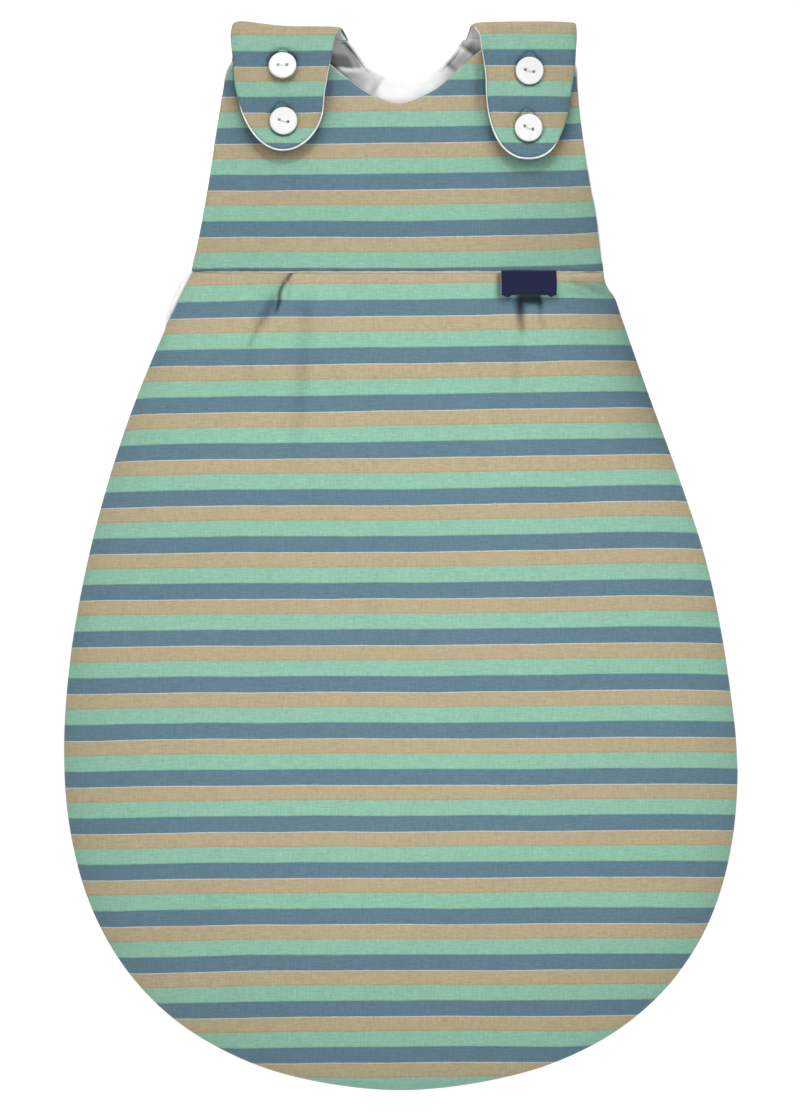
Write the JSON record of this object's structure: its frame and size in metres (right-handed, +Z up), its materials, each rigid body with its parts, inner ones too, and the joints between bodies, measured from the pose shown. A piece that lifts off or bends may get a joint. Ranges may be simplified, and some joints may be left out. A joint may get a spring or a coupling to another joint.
{
  "type": "baby sleeping bag",
  "caption": "Sleeveless padded sleeping bag for a baby: pear-shaped striped jersey bag with a round foot, bib bodice, shoulder straps that button in front, and a side zip.",
  "frame": {"origin": "on the surface the bag lies on, below the middle of its length and width", "axes": "+Y along the bag towards the neck, +X across it to the wearer's left, +Z up out of the front, away from the surface"},
  "size_m": [0.441, 0.7, 0.046],
  "materials": {
    "striped_jersey": "knitted cotton jersey, heathered, in sand, mint and grey-blue stripes",
    "white_jersey": "plain white knitted cotton",
    "wadding": "bonded polyester fleece",
    "thread": "spun sewing thread",
    "button_plastic": "smooth, softly polished",
    "zip_tape": "woven polyester tape",
    "zip_coil": "satin nylon coil",
    "zip_metal": "white lacquered zinc",
    "woven_label": "dense satin weave, navy, bare"
  },
  "bodies": {
    "bag": {"front_skirt": "striped_jersey", "front_skirt_wadding": "wadding", "front_skirt_lining": "white_jersey", "back_skirt": "striped_jersey", "back_skirt_wadding": "wadding", "back_skirt_lining": "white_jersey", "front_bodice": "striped_jersey", "front_bodice_wadding": "wadding", "front_bodice_lining": "white_jersey", "back_bodice": "striped_jersey", "back_bodice_wadding": "wadding", "back_bodice_lining": "white_jersey", "side_seam": "striped_jersey", "front_waist_seam": "white_jersey", "back_waist_seam": "white_jersey", "zip_tape_front": "zip_tape", "zip_tape_back": "zip_tape", "zip_coil_front": "zip_coil", "zip_coil_back": "zip_coil", "zip_top_stop": "zip_metal", "zip_bottom_stop": "zip_metal", "zip_garage": "white_jersey", "left_shoulder_fold": "striped_jersey", "right_shoulder_fold": "striped_jersey"},
    "left_strap": {"left_strap": "striped_jersey", "left_strap_lining": "white_jersey", "left_upper_buttonhole": "thread", "left_lower_buttonhole": "thread"},
    "right_strap": {"right_strap": "striped_jersey", "right_strap_lining": "white_jersey", "right_upper_buttonhole": "thread", "right_lower_buttonhole": "thread"},
    "left_upper_button": {"left_upper_button": "button_plastic", "left_upper_thread": "thread"},
    "left_lower_button": {"left_lower_button": "button_plastic", "left_lower_thread": "thread"},
    "right_upper_button": {"right_upper_button": "button_plastic", "right_upper_thread": "thread"},
    "right_lower_button": {"right_lower_button": "button_plastic", "right_lower_thread": "thread"},
    "zip_slider": {"zip_slider": "zip_metal"},
    "zip_pull_tab": {"zip_pull_tab": "zip_metal"},
    "woven_label": {"woven_label": "woven_label"}
  },
  "joints": [
    {"name": "left_strap_fold", "type": "hinge", "parent": "bag", "child": "left_strap", "pos_m": [-0.0774, 0.3392, 0.0108], "axis": [-1, 0, 0], "range_deg": [0, 175], "deforming": ["left_shoulder_fold", "left_upper_buttonhole", "left_lower_buttonhole"]},
    {"name": "right_strap_fold", "type": "hinge", "parent": "bag", "child": "right_strap", "pos_m": [0.0838, 0.3392, 0.0108], "axis": [-1, 0, 0], "range_deg": [0, 175], "deforming": ["right_shoulder_fold", "right_upper_buttonhole", "right_lower_buttonhole"]},
    {"name": "left_upper_button_turn", "type": "hinge", "parent": "bag", "child": "left_upper_button", "pos_m": [-0.0771, 0.321, 0.0234], "axis": [0, 0, 1], "range_deg": [-30, 30]},
    {"name": "left_lower_button_turn", "type": "hinge", "parent": "bag", "child": "left_lower_button", "pos_m": [-0.0767, 0.2848, 0.0234], "axis": [0, 0, 1], "range_deg": [-30, 30]},
    {"name": "right_upper_button_turn", "type": "hinge", "parent": "bag", "child": "right_upper_button", "pos_m": [0.0845, 0.3173, 0.0234], "axis": [0, 0, 1], "range_deg": [-30, 30]},
    {"name": "right_lower_button_turn", "type": "hinge", "parent": "bag", "child": "right_lower_button", "pos_m": [0.0838, 0.2801, 0.0234], "axis": [0, 0, 1], "range_deg": [-30, 30]},
    {"name": "zip_slide", "type": "hinge", "parent": "bag", "child": "zip_slider", "pos_m": [0.56, -0.175, 0.013], "axis": [0, 0, 1], "range_deg": [0, 18.6]},
    {"name": "pull_tab_swing", "type": "hinge", "parent": "zip_slider", "child": "zip_pull_tab", "pos_m": [-0.15261, 0.14753, 0.013], "axis": [0, 0, -1], "range_deg": [0, 100]},
    {"name": "label_flip", "type": "hinge", "parent": "bag", "child": "woven_label", "pos_m": [0.0829, 0.1854, 0.02], "axis": [-1, 0, 0], "range_deg": [0, 160]}
  ]
}
